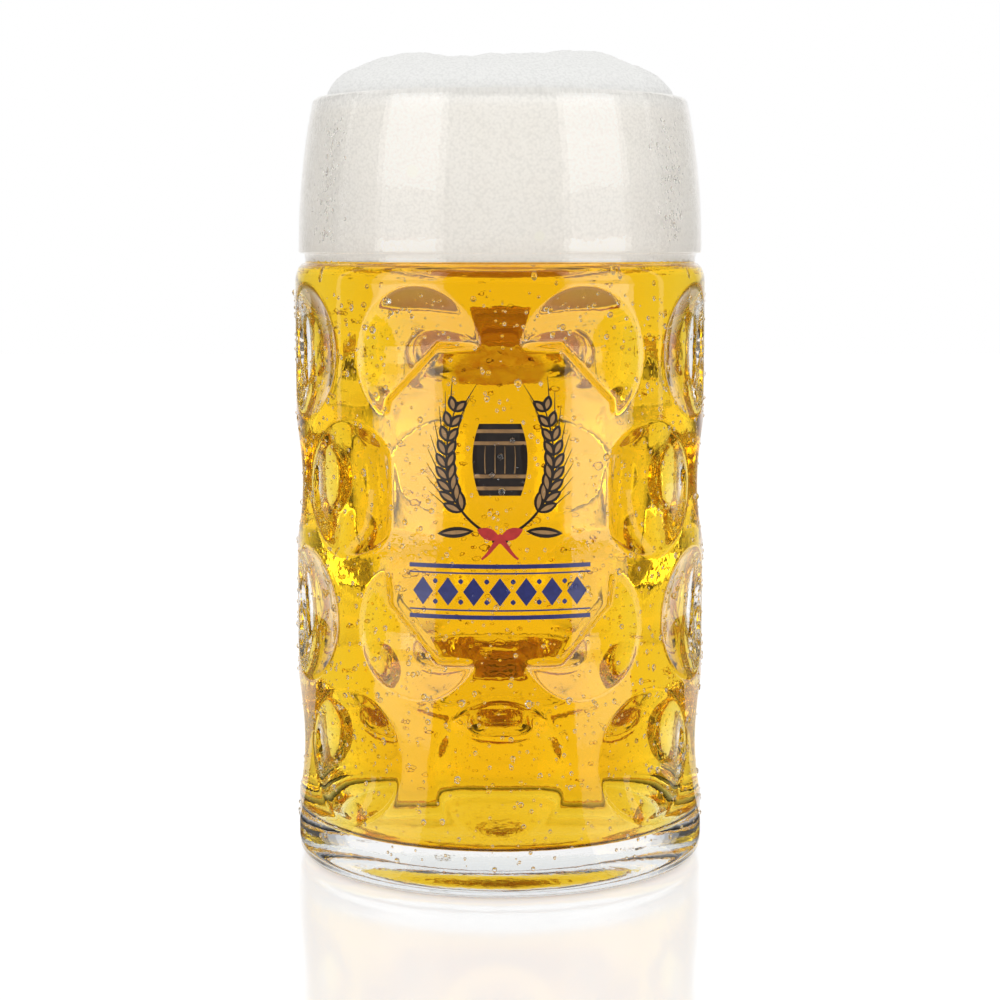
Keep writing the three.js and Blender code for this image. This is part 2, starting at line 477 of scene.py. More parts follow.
    def outside_at(self, angle: float, height: float) -> Vector:
        """A point of the outside with its relief.

        Args:
            angle: Angle round the mug.
            height: Height above the table.

        Returns:
            The point in millimetres.
        """
        profile = self.outside()
        plain = np.interp(height, profile[:, 1], profile[:, 0])
        relief = self.dish(np.array(angle), np.array(height))
        return Vector(round_axis(plain - relief, angle, height))

    def outside_seat(self, angle: float, height: float) -> tuple[Vector, Vector]:
        """A point of the outside with its relief, and the outward direction there.

        Args:
            angle: Angle round the mug.
            height: Height above the table.

        Returns:
            The point in millimetres and the unit normal.
        """
        here = self.outside_at(angle, height)
        along = self.outside_at(angle + self.normal_step / self.radius, height) - here
        upward = self.outside_at(angle, height + self.normal_step) - here
        return here, along.cross(upward).normalized()


# Finishes


@dataclass(frozen=True)
class Graph:
    """A node tree whose nodes are added with their values and links in one call."""

    tree: bpy.types.NodeTree

    def feed(self, node: Node, inputs: dict[str | int, Value]) -> None:
        """Sets or links inputs of a node.

        Args:
            node: The node.
            inputs: By name or place of the input, its value or the socket that it is linked to.
        """
        for label, value in inputs.items():
            socket = node.inputs[label]
            if isinstance(value, Socket):
                self.tree.links.new(value, socket)
            elif isinstance(value, tuple) and len(value) < len(socket.default_value):
                socket.default_value = (*value, 1.0)
            else:
                socket.default_value = value

    def add(self, kind: str, inputs: dict[str | int, Value] | None = None, **settings: object) -> Node:
        """Adds a shader node.

        Args:
            kind: Its type, without the prefix that all shader nodes have.
            inputs: Its inputs, as feed takes them.
            settings: Its own properties.

        Returns:
            The node.
        """
        node = self.tree.nodes.new(f"ShaderNode{kind}")
        for label, setting in settings.items():
            setattr(node, label, setting)
        self.feed(node, inputs or {})
        return node

    def math(self, operation: str, *values: Value, clamp: bool = False) -> Socket:
        """The result of an operation on plain values."""
        return self.add("Math", dict(enumerate(values)), operation=operation, use_clamp=clamp).outputs[0]

    def vector(self, operation: str, *values: Value) -> Node:
        """A node that works on vectors."""
        return self.add("VectorMath", dict(enumerate(values)), operation=operation)

    def ramp(self, value: Socket, source: tuple[Value, Value] = (0.0, 1.0),
             target: tuple[Value, Value] = (0.0, 1.0), smooth: bool = False) -> Socket:
        """Carries a value from one range to another and holds it at the ends.

        Args:
            value: The value.
            source: The range that it comes from.
            target: The range that it goes to.
            smooth: Whether it eases in and out.

        Returns:
            The new value.
        """
        ends = ("From Min", "From Max", "To Min", "To Max")
        inputs = {"Value": value, **dict(zip(ends, (*source, *target)))}
        kind = "SMOOTHSTEP" if smooth else "LINEAR"
        return self.add("MapRange", inputs, interpolation_type=kind).outputs["Result"]

    def blend(self, share: Value, first: Value, second: Value, kind: str = "MIX") -> Socket:
        """A mix of two colours."""
        inputs = {"Factor": share, "A": first, "B": second}
        return self.add("Mix", inputs, data_type="RGBA", blend_type=kind).outputs["Result"]

    def bump(self, height: Socket, distance: float, strength: float) -> Node:
        """A node that makes a relief from a height."""
        return self.add("Bump", {"Height": height, "Distance": distance, "Strength": strength})

    def effect(self, group: bpy.types.NodeTree, **values: float) -> Socket:
        """The result of a shared effect with its own values."""
        return self.add("Group", values, node_tree=group).outputs[0]

    def place(self) -> Socket:
        """Place on the piece, in metres of the frame."""
        return self.add("TexCoord").outputs["Object"]

    def parts(self) -> bpy.types.bpy_prop_collection:
        """Place on the piece, split into X, Y and Z."""
        return self.add("SeparateXYZ", {0: self.place()}).outputs

    def surface(self, shader: Node) -> None:
        """Makes a shader the surface of the material."""
        self.feed(self.tree.nodes["Material Output"], {"Surface": shader.outputs[0]})


def start_group(name: str, inputs: dict[str, float], output: str) -> tuple[Graph, Node, Node]:
    """Starts a shared effect: a shader node group with float sockets.

    Args:
        name: Name of the group.
        inputs: Name and default of each input.
        output: Name of the output.

    Returns:
        The graph to fill, the node of its inputs and the node of its output.
    """
    tree = bpy.data.node_groups.new(name, "ShaderNodeTree")
    for label, value in inputs.items():
        socket = tree.interface.new_socket(label, in_out="INPUT", socket_type="NodeSocketFloat")
        socket.default_value = value
    tree.interface.new_socket(output, in_out="OUTPUT", socket_type="NodeSocketFloat")
    return Graph(tree), tree.nodes.new("NodeGroupInput"), tree.nodes.new("NodeGroupOutput")


def mottle_group() -> bpy.types.NodeTree:
    """Makes a soft uneven tone between 0 and 1, as in foam or thin enamel.

    Returns:
        The node group.
    """
    graph, given, result = start_group("soft_mottle", {"Scale": 100.0, "Contrast": 1.0}, "Tone")
    scale, contrast = given.outputs["Scale"], given.outputs["Contrast"]
    grain = graph.add("TexNoise", {"Vector": graph.place(), "Scale": scale, "Detail": 4.0, "Roughness": 0.6})
    centred = graph.math("SUBTRACT", grain.outputs["Fac"], 0.5)
    graph.feed(result, {"Tone": graph.math("MULTIPLY_ADD", centred, contrast, 0.5, clamp=True)})
    return graph.tree


def pebble_group() -> bpy.types.NodeTree:
    """Makes the height, from 0 to 1, of rounded pebbles side by side, as fine dew or foam bubbles.

    Returns:
        The node group.
    """
    graph, given, result = start_group("pebbles", {"Scale": 900.0, "Fullness": 0.6}, "Height")
    cells = graph.add("TexVoronoi", {"Vector": graph.place(), "Scale": given.outputs["Scale"]})
    share = graph.math("DIVIDE", cells.outputs["Distance"], given.outputs["Fullness"])
    rest = graph.math("SUBTRACT", 1.0, share, clamp=True)
    graph.feed(result, {"Height": graph.math("POWER", rest, 0.5)})
    return graph.tree


@dataclass(frozen=True)
class EffectGroups:
    """Shader node groups that several finishes share."""

    mottle: bpy.types.NodeTree
    pebbles: bpy.types.NodeTree

    @classmethod
    def build(cls) -> "EffectGroups":
        """Makes the groups once."""
        return cls(mottle_group(), pebble_group())


def start_material(name: str) -> tuple[Material, Graph, Node]:
    """A new material with its Principled shader.

    Args:
        name: Name of the material.

    Returns:
        The material, its graph and the shader.
    """
    material = bpy.data.materials.new(name)
    material.use_nodes = True
    graph = Graph(material.node_tree)
    return material, graph, graph.tree.nodes["Principled BSDF"]


def start_glow(name: str) -> tuple[Material, Graph]:
    """A new material of the stage, which glows by itself but isn't sampled as a lamp.

    Args:
        name: Name of the material.

    Returns:
        The material and its graph, with no shader yet.
    """
    material, graph, shader = start_material(name)
    graph.tree.nodes.remove(shader)
    material.cycles.emission_sampling = "NONE"
    return material, graph


@dataclass(frozen=True)
class ClearFinish:
    """A clear, transmissive finish with a slight waviness: glass, beer or water."""

    name: str
    ior: float
    absorb_color: Color = WHITE
    absorb_density: float = 0.0
    wave_scale: float = 70.0
    wave_height: float = 0.0003
    wave_strength: float = 0.3
    cloud: float = 0.99

    def color(self, graph: Graph, effects: EffectGroups, clouds: Socket) -> Socket:
        """The base colour, which is plain clouds unless a finish adds to them."""
        return clouds

    def normal(self, graph: Graph, effects: EffectGroups, waves: Socket) -> Socket:
        """The normal, which is plain waves unless a finish adds to them."""
        return waves

    def material(self, effects: EffectGroups) -> Material:
        """Makes the material.

        Args:
            effects: The shared effects.

        Returns:
            The material.
        """
        material, graph, shader = start_material(self.name)
        tone = graph.effect(effects.mottle, Scale=self.wave_scale, Contrast=1.0)
        waves = graph.bump(tone, self.wave_height, self.wave_strength).outputs["Normal"]
        clouds = graph.blend(tone, (self.cloud,) * 3, WHITE)
        graph.feed(shader, {
            "Base Color": self.color(graph, effects, clouds),
            "Normal": self.normal(graph, effects, waves),
            "Roughness": 0.0,
            "IOR": self.ior,
            "Transmission Weight": 1.0,
        })
        if self.absorb_density > 0.0:
            inside = {"Color": self.absorb_color, "Density": self.absorb_density}
            volume = graph.add("VolumeAbsorption", inside).outputs["Volume"]
            graph.feed(graph.tree.nodes["Material Output"], {"Volume": volume})
        return material


@dataclass(frozen=True)
class RootShadedGlassFinish(ClearFinish):
    """Clear glass with painted shade, dim and uneven, under the upper root of the handle."""

    root_shade_height: float = 0.1305
    # Painted shade: a dark tint in the glass that stands in for the shade seen in the handle's upper root.
    root_shade_tint: Color = (0.24, 0.05, 0.03)
    root_shade_full: float = 0.8
    root_shade_least: float = 0.62
    half_width: float = 0.0086
    half_height: float = 0.0078
    root_shade_until: float = 0.0556
    root_shade_mottle_scale: float = 420.0
    root_shade_mottle_contrast: float = 2.2

    def color(self, graph: Graph, effects: EffectGroups, clouds: Socket) -> Socket:
        """The clouds, with the painted shade of the handle's root near the wall.

        Args:
            graph: The material's graph.
            effects: The shared effects.
            clouds: Colour of the glass.

        Returns:
            The base colour.
        """
        offset = graph.vector("SUBTRACT", graph.place(), (0.0, 0.0, self.root_shade_height))
        scale = (1.0 / self.half_width, 0.0, 1.0 / self.half_height)
        share = graph.vector("MULTIPLY", offset.outputs["Vector"], scale)
        reach = graph.vector("LENGTH", share.outputs["Vector"]).outputs["Value"]
        inside = graph.ramp(reach, (self.root_shade_full, 1.0), (1.0, 0.0))
        near = graph.math("LESS_THAN", graph.parts()["Y"], self.root_shade_until)
        grain = graph.effect(effects.mottle, Scale=self.root_shade_mottle_scale, Contrast=self.root_shade_mottle_contrast)
        uneven = graph.ramp(grain, target=(self.root_shade_least, 1.0))
        # Painted shade at the root, made uneven by the mottle.
        where = graph.math("MULTIPLY", graph.math("MULTIPLY", inside, near), uneven)
        return graph.blend(where, clouds, self.root_shade_tint)


@dataclass(frozen=True)
class DewyGlassFinish(ClearFinish):
    """Clear glass with a fine dew of condensation on both sides of the collar, greyed in its base by painted
    shade.
    """

    dew_scale: float = 1150.0
    dew_fullness: float = 0.62
    dew_height: float = 0.00012
    dew_strength: float = 0.8
    dew_from: float = 0.036
    dew_full: float = 0.047
    dew_low: float = 0.160
    # Painted shade: a grey glass colour that darkens the base, full below the first height and gone above
    # the second.
    base_shade_tint: Color = (0.78, 0.81, 0.84)
    base_shade_from: float = 0.008
    base_shade_to: float = 0.013

    def color(self, graph: Graph, effects: EffectGroups, clouds: Socket) -> Socket:
        """The clouds, greyed towards the base by painted shade."""
        # Painted shade, greying the glass towards the table.
        thick = graph.ramp(graph.parts()["Z"], (self.base_shade_from, self.base_shade_to))
        return graph.blend(thick, self.base_shade_tint, clouds)

    def normal(self, graph: Graph, effects: EffectGroups, waves: Socket) -> Socket:
        """The waves, with the dew's pebbles at both sides of the collar.

        Args:
            graph: The material's graph.
            effects: The shared effects.
            waves: Normal of the wavy glass.

        Returns:
            The normal.
        """
        parts = graph.parts()
        dew = graph.effect(effects.pebbles, Scale=self.dew_scale, Fullness=self.dew_fullness)
        band = graph.ramp(graph.math("ABSOLUTE", parts["X"]), (self.dew_from, self.dew_full))
        above = graph.math("GREATER_THAN", parts["Z"], self.dew_low)
        height = graph.math("MULTIPLY", dew, graph.math("MULTIPLY", band, above))
        bump = graph.bump(height, self.dew_height, self.dew_strength)
        graph.feed(bump, {"Normal": waves})
        return bump.outputs["Normal"]


@dataclass(frozen=True)
class FoamFinish:
    """Fine off-white foam with small bubbles and a few larger, yellower ones; painted shade darkens the
    cells between the bubbles, more at the sides, and the crown has a darker colour than the brighter foam in
    the collar, as painted light and shade.
    """

    name: str = "white_foam"
    pale: Color = (0.997, 0.967, 0.908)
    dim: Color = (0.989, 0.953, 0.888)
    tone_scale: float = 120.0
    tone_contrast: float = 1.6
    # Painted light and shade: the crown's colour is darker than the collar's, which is lit only through the
    # glass.
    crown: Color = (0.955, 0.955, 0.935)
    crown_from: float = 0.2
    crown_full: float = 0.206
    # Painted shade between the foam's bubbles: the darkest level in the middle, and a darker one at both
    # sides.
    cell_shade_middle: float = 0.9
    cell_shade_sides: float = 0.84
    side_shade_from: float = 0.031
    side_shade_full: float = 0.043
    pocket: Color = (0.955, 0.93, 0.84)
    pocket_scale: float = 95.0
    pocket_radius: float = 0.17
    pocket_core: float = 0.7
    pocket_share: float = 0.8
    bubble_scale: float = 1450.0
    bubble_fullness: float = 0.7
    bubble_height: float = 0.0003
    bubble_strength: float = 0.35
    wet_bump: float = 0.15
    roughness: float = 0.75
    specular: float = 0.25

    def pockets(self, graph: Graph, rise: Socket) -> Socket:
        """Mask of the few larger bubbles, which lie below the crown.

        Args:
            graph: The material's graph.
            rise: 0 below the crown and 1 on it.

        Returns:
            The mask.
        """
        cells = graph.add("TexVoronoi", {"Vector": graph.place(), "Scale": self.pocket_scale}).outputs
        core = (self.pocket_core * self.pocket_radius, self.pocket_radius)
        small = graph.ramp(cells["Distance"], core, (1.0, 0.0))
        within = graph.math("MULTIPLY", small, graph.math("SUBTRACT", 1.0, rise))
        chance = graph.add("SeparateColor", {0: cells["Color"]}).outputs["Red"]
        return graph.math("MULTIPLY", within, graph.math("GREATER_THAN", chance, self.pocket_share))

    def material(self, effects: EffectGroups) -> Material:
        """Makes the material.

        Args:
            effects: The shared effects.

        Returns:
            The material.
        """
        material, graph, shader = start_material(self.name)
        parts = graph.parts()
        tone = graph.effect(effects.mottle, Scale=self.tone_scale, Contrast=self.tone_contrast)
        bubbles = graph.effect(effects.pebbles, Scale=self.bubble_scale, Fullness=self.bubble_fullness)
        rise = graph.ramp(parts["Z"], (self.crown_from, self.crown_full))
        # Painted light and shade: brighter foam in the collar, darker foam on the crown.
        crown_shaded_tone = graph.blend(rise, graph.blend(tone, self.dim, self.pale), self.crown)
        # Painted shade in the cells between the bubbles, stronger at both sides.
        darkest_shade = graph.ramp(graph.math("ABSOLUTE", parts["X"]), (self.side_shade_from, self.side_shade_full),
                           (self.cell_shade_middle, self.cell_shade_sides))
        shaded_cells = graph.blend(1.0, crown_shaded_tone, graph.ramp(bubbles, target=(darkest_shade, 1.0)), "MULTIPLY")
        height = graph.math("MULTIPLY", bubbles, graph.ramp(rise, target=(self.wet_bump, 1.0)))
        graph.feed(shader, {
            "Base Color": graph.blend(self.pockets(graph, rise), shaded_cells, self.pocket),
            "Normal": graph.bump(height, self.bubble_height, self.bubble_strength).outputs["Normal"],
            "Roughness": self.roughness,
            "Specular IOR Level": self.specular,
        })
        return material


@dataclass(frozen=True)
class EnamelFinish:
    """Thin fired enamel of one colour, slightly uneven."""

    ink: Ink
    roughness: float = 0.32
    tone_scale: float = 700.0
    tone_contrast: float = 1.5
    dim: float = 0.75
    bright: float = 1.3

    def material(self, effects: EffectGroups) -> Material:
        """Makes the material.

        Args:
            effects: The shared effects.

        Returns:
            The material.
        """
        material, graph, shader = start_material(f"enamel_{self.ink.name.lower()}")
        tone = graph.effect(effects.mottle, Scale=self.tone_scale, Contrast=self.tone_contrast)
        dark, light = (tuple(level * c for c in self.ink.value) for level in (self.dim, self.bright))
        graph.feed(shader, {"Base Color": graph.blend(tone, dark, light), "Roughness": self.roughness})
        return material


def dress(piece: Piece, material: Material, slot: Slot, node: str = "") -> None:
    """Gives a piece its finish and its place in the frame.

    Args:
        piece: The piece.
        material: Its finish.
        slot: The record's material slot; not used.
        node: The node that the piece stands for, if any.
    """
    piece.data.materials.append(material)
    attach(piece, BODY)
    if node:
        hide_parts(node)
    LOG.info("%s: %d points, %s", piece.name, len(piece.data.vertices), material.name)


# Pieces


@dataclass
class MugGlass:
    """The pressed glass vessel, with eyes, panel, groove, collar and lip."""

    wall: Wall
    around: int = 400
    wet_margin: float = 0.5

    def build(self) -> Piece:
        """Makes the closed vessel: up the outside, over the lip and down the inside.

        Returns:
            The vessel.
        """
        w = self.wall
        half = w.rim_wall / 2.0
        under, outside = w.underside(), w.outside()
        lip = arc(12, (w.rim_radius - half, w.lip), (half, half), 0, 180)[1:-1]
        neck = curve(2, (w.inner_radius, w.beer_surface), (w.inner_radius, w.collar))[1:-1]
        inside = np.concatenate([w.bowl_inside(), neck, w.collar_inside()])[::-1]
        angle, radius, height = spin(np.concatenate([under, outside, lip, inside]), self.around)
        out = slice(len(under), len(under) + len(outside))
        into = slice(-len(inside), None)
        radius[out] -= w.dish(angle[out], height[out])
        radius[into] -= w.swell(angle[into], height[into])
        return turned_object("mug_glass", radius, height)

    def dress(self, piece: Piece, material: Material, wetted: Material) -> None:
        """Gives the vessel its glass, and the wall under the beer its weaker refraction.

        Args:
            piece: The vessel.
            material: The glass in air.
            wetted: The glass against beer.
        """
        dress(piece, material, Slot.GLASS, "mug_body")
        piece.data.materials.append(wetted)
        low, high = (self.wall.floor - self.wet_margin) * MM, self.wall.beer_surface * MM
        limit = (self.wall.inner_radius + self.wet_margin) * MM
        for face in piece.data.polygons:
            middle = face.center
            if low < middle.z < high and math.hypot(middle.x, middle.y) < limit:
                face.material_index = 1


@dataclass
class LoopHandle:
    """The glass loop handle, which spreads into the wall at both roots."""

    wall: Wall
    reach: float = 46.0
    width: float = 22.0
    thickness: float = 15.0
    squareness: float = 2.7
    rise: float = 6.0
    upper_bend: float = 26.0
    lower_bend: float = 14.0
    flare_growth: float = 4.0
    flare_length: float = 13.0
    overlap: float = 0.5
    steps: int = 70
    around: int = 56
    cap_rings: int = 7
    same_place: float = 0.001

    @property
    def seat(self) -> float:
        """Distance from the axis at which both ends lie in the wall."""
        return self.wall.radius - self.overlap

    def path(self) -> np.ndarray:
        """Centre line of the handle, from the upper root to the lower one.

        Returns:
            Array of distance from the axis and height.
        """
        w = self.wall
        grip = w.radius + self.reach - self.thickness / 2.0
        root = (w.radius + w.inner_radius) / 2.0
        middle = (root + grip) / 2.0
        top = (grip, w.upper_root - self.upper_bend)
        upper = curve(self.steps, (root, w.upper_root), (middle + self.rise, w.upper_root + self.rise),
                      (grip, w.upper_root), top)
        lower = curve(self.steps, top, (grip, w.lower_root + self.lower_bend),
                      (middle, w.lower_root + self.rise), (root, w.lower_root))
        path = np.concatenate([upper, lower[1:]])
        return path[path[:, 0] > self.seat]

    def build(self) -> Piece:
        """Sweeps the rounded section along the centre line and closes both ends on the wall.

        Returns:
            The handle.
        """
        path = self.path()
        along = directions(path)
        spread = np.clip(1.0 - (path[:, :1] - self.wall.radius) / self.flare_length, 0.0, 1.0) ** 2
        half = self.thickness / 2.0 + spread * self.flare_growth
        section = np.stack([np.cos(turns(self.around)), np.sin(turns(self.around))])
        across, up = np.sign(section) * np.abs(section) ** (2.0 / self.squareness)
        x = half * across * self.width / self.thickness
        y = path[:, :1] - half * up * along[:, 1:]
        z = path[:, 1:] + half * up * along[:, :1]
        rings = np.stack([x, y, z], axis=2)
        for end in (0, -1):
            rings[end, :, 1] = np.sqrt(self.seat**2 - rings[end, :, 0] ** 2)
        rows = [*self.cap(rings[0])[::-1], *rings, *self.cap(rings[-1])]
        piece = mesh_object("loop_handle", np.concatenate(rows), ring_faces(len(rows), self.around))
        shape = bmesh.new()
        shape.from_mesh(piece.data)
        bmesh.ops.remove_doubles(shape, verts=shape.verts, dist=self.same_place * MM)
        bmesh.ops.recalc_face_normals(shape, faces=shape.faces)
        shape.to_mesh(piece.data)
        shape.free()
        return piece

    def cap(self, ring: np.ndarray) -> list[np.ndarray]:
        """Smaller rings on the wall's own curve that close one end of the handle.

        Args:
            ring: The end ring.

        Returns:
            Rings from the outermost to a single point.
        """
        middle = ring.mean(axis=0)
        rings = []
        for step in range(1, self.cap_rings + 1):
            small = middle + (ring - middle) * (1.0 - step / self.cap_rings)
            small[:, 1] = np.sqrt(self.seat**2 - small[:, 0] ** 2)
            rings.append(small)
        return rings

    def dress(self, piece: Piece, material: Material) -> None:
        """Gives the handle its glass."""
        dress(piece, material, Slot.GLASS, "handle")


@dataclass
class Beer:
    """The beer, which wets the glass: it reaches a little into the wall, so no air lies between.

    The wetted wall of the glass bends the light for both, so the beer's own side only tints it.
    """

    wall: Wall
    wetting: float = 0.05
    top_edge: float = 0.2
    around: int = 400

    def build(self) -> Piece:
        """Makes the body of beer, with the wall's swellings pressed into it.

        Returns:
            The beer.
        """
        w = self.wall
        brim = w.inner_radius + self.wetting - self.top_edge
        top = curve(6, (brim, w.beer_surface), (0.0, w.beer_surface))
        angle, radius, height = spin(np.concatenate([w.bowl_inside(self.wetting), top]), self.around)
        return turned_object("golden_beer", radius - w.swell(angle, height), height)

    def dress(self, piece: Piece, material: Material) -> None:
        """Gives the beer its colour."""
        dress(piece, material, Slot.BEER, "beer")


@dataclass
class BeerBubbles:
    """Small bubbles that cling to the inside of the wall, and a few that rise through the beer."""

    wall: Wall
    seed: int = 7
    clinging: int = 700
    rising: int = 160
    low: float = 26.0
    high: float = 160.5
    largest: float = 0.75
    log_size: float = -1.05
    log_spread: float = 0.4
    wall_gap: Point = (0.1, 0.6)
    core_share: Point = (0.05, 0.95)
    around: int = 10
    rings: int = 5

    def places(self) -> Iterator[tuple[np.ndarray, float]]:
        """Places the bubbles by a seeded draw.

        Returns:
            Place and radius of each bubble.
        """
        draw = random.Random(self.seed)
        for number in range(self.clinging + self.rising):
            angle = draw.uniform(-math.pi, math.pi)
            height = draw.uniform(self.low, self.high)
            radius = min(self.largest, draw.lognormvariate(self.log_size, self.log_spread))
            swell = self.wall.swell(np.array(angle), np.array(height))
            reach = self.wall.inner_radius - swell - radius
            if number < self.clinging:
                reach -= draw.uniform(*self.wall_gap)
            else:
                reach *= math.sqrt(draw.uniform(*self.core_share))
            yield round_axis(reach, angle, height), radius

    def build(self) -> Piece:
        """Makes all the bubbles as one piece.

        Returns:
            The bubbles.
        """
        lean = np.pi * np.arange(1, self.rings + 1)[:, None] / (self.rings + 1)
        from_side = turns(self.around) + np.pi / 2.0
        rings = round_axis(np.sin(lean), from_side, -np.cos(lean))
        ball = np.concatenate([rings.reshape(-1, 3), [(0.0, 0.0, -1.0), (0.0, 0.0, 1.0)]])
        shapes = [center + ball * radius for center, radius in self.places()]
        return scattered_object("beer_bubbles", shapes, closed_faces(self.rings, self.around))

    def dress(self, piece: Piece, material: Material) -> None:
        """Gives the bubbles their clear skin."""
        dress(piece, material, Slot.BEER)


@dataclass
class FoamHead:
    """The foam, which fills the collar and stands over the rim in a lumpy crown."""

    wall: Wall
    rise: float = 10.6
    side_power: float = 3.1
    top_power: float = 2.3
    around: int = 420
    crown_rows: int = 150
    contact: float = 0.15
    sink: float = 0.3
    foot_edge: float = 0.4
    lumps_full: float = 0.55
    humps: tuple[tuple[float, float, float, float], ...] = (
        (-27.0, -6.0, 13.0, 1.5),
        (20.0, -8.0, 14.0, 1.9),
        (-4.0, -14.0, 9.0, -1.4),
        (6.0, 20.0, 16.0, 1.0),
    )
    lumps: tuple[Point, ...] = ((11.0, 1.0), (4.5, 0.7), (2.1, 0.32), (1.1, 0.13))

    def lumpiness(self, x: float, y: float) -> float:
        """Height that the crown's humps and lumps add at a place.

        Args:
            x: Place across the mug.
            y: Place from front to back.

        Returns:
            Height in millimetres.
        """
        total = 0.0
        for hump_x, hump_y, spread, height in self.humps:
            total += height * math.exp(-((x - hump_x) ** 2 + (y - hump_y) ** 2) / spread**2)
        for size, height in self.lumps:
            total += height * noise.noise(Vector((x / size, y / size, size)))
        return total

    def build(self) -> Piece:
        """Makes the foam: flat on the beer, round the collar's inside and over the crown.

        Returns:
            The foam.
        """
        w = self.wall
        bottom = w.beer_surface - self.sink
        side = w.inner_radius + self.contact
        under = curve(6, (0.0, bottom), (side - self.foot_edge, bottom))
        low = curve(6, (side, w.beer_surface), (side, w.collar))[:-1]
        collar = w.collar_inside(self.contact)
        rim_radius, rim_height = collar[-1]
        tall = w.height + self.rise - rim_height
        slope = np.linspace(0.0, np.pi / 2.0, self.crown_rows + 1)[1:]
        crown = np.stack([rim_radius * np.cos(slope) ** (2.0 / self.side_power),
                          rim_height + tall * np.sin(slope) ** (2.0 / self.top_power)], axis=1)
        profile = np.concatenate([under, low, collar, crown])
        angle, radius, height = spin(profile, self.around)
        places = round_axis(radius, angle, height)
        for row in range(len(profile) - len(crown), len(profile)):
            share = smooth_step(0.0, self.lumps_full, (profile[row, 1] - rim_height) / tall)
            height[row] += [share * self.lumpiness(x, y) for x, y, _ in places[row]]
        return turned_object("foam", radius, height)

    def dress(self, piece: Piece, material: Material) -> None:
        """Gives the foam its finish."""
        dress(piece, material, Slot.FOAM, "foam_head")


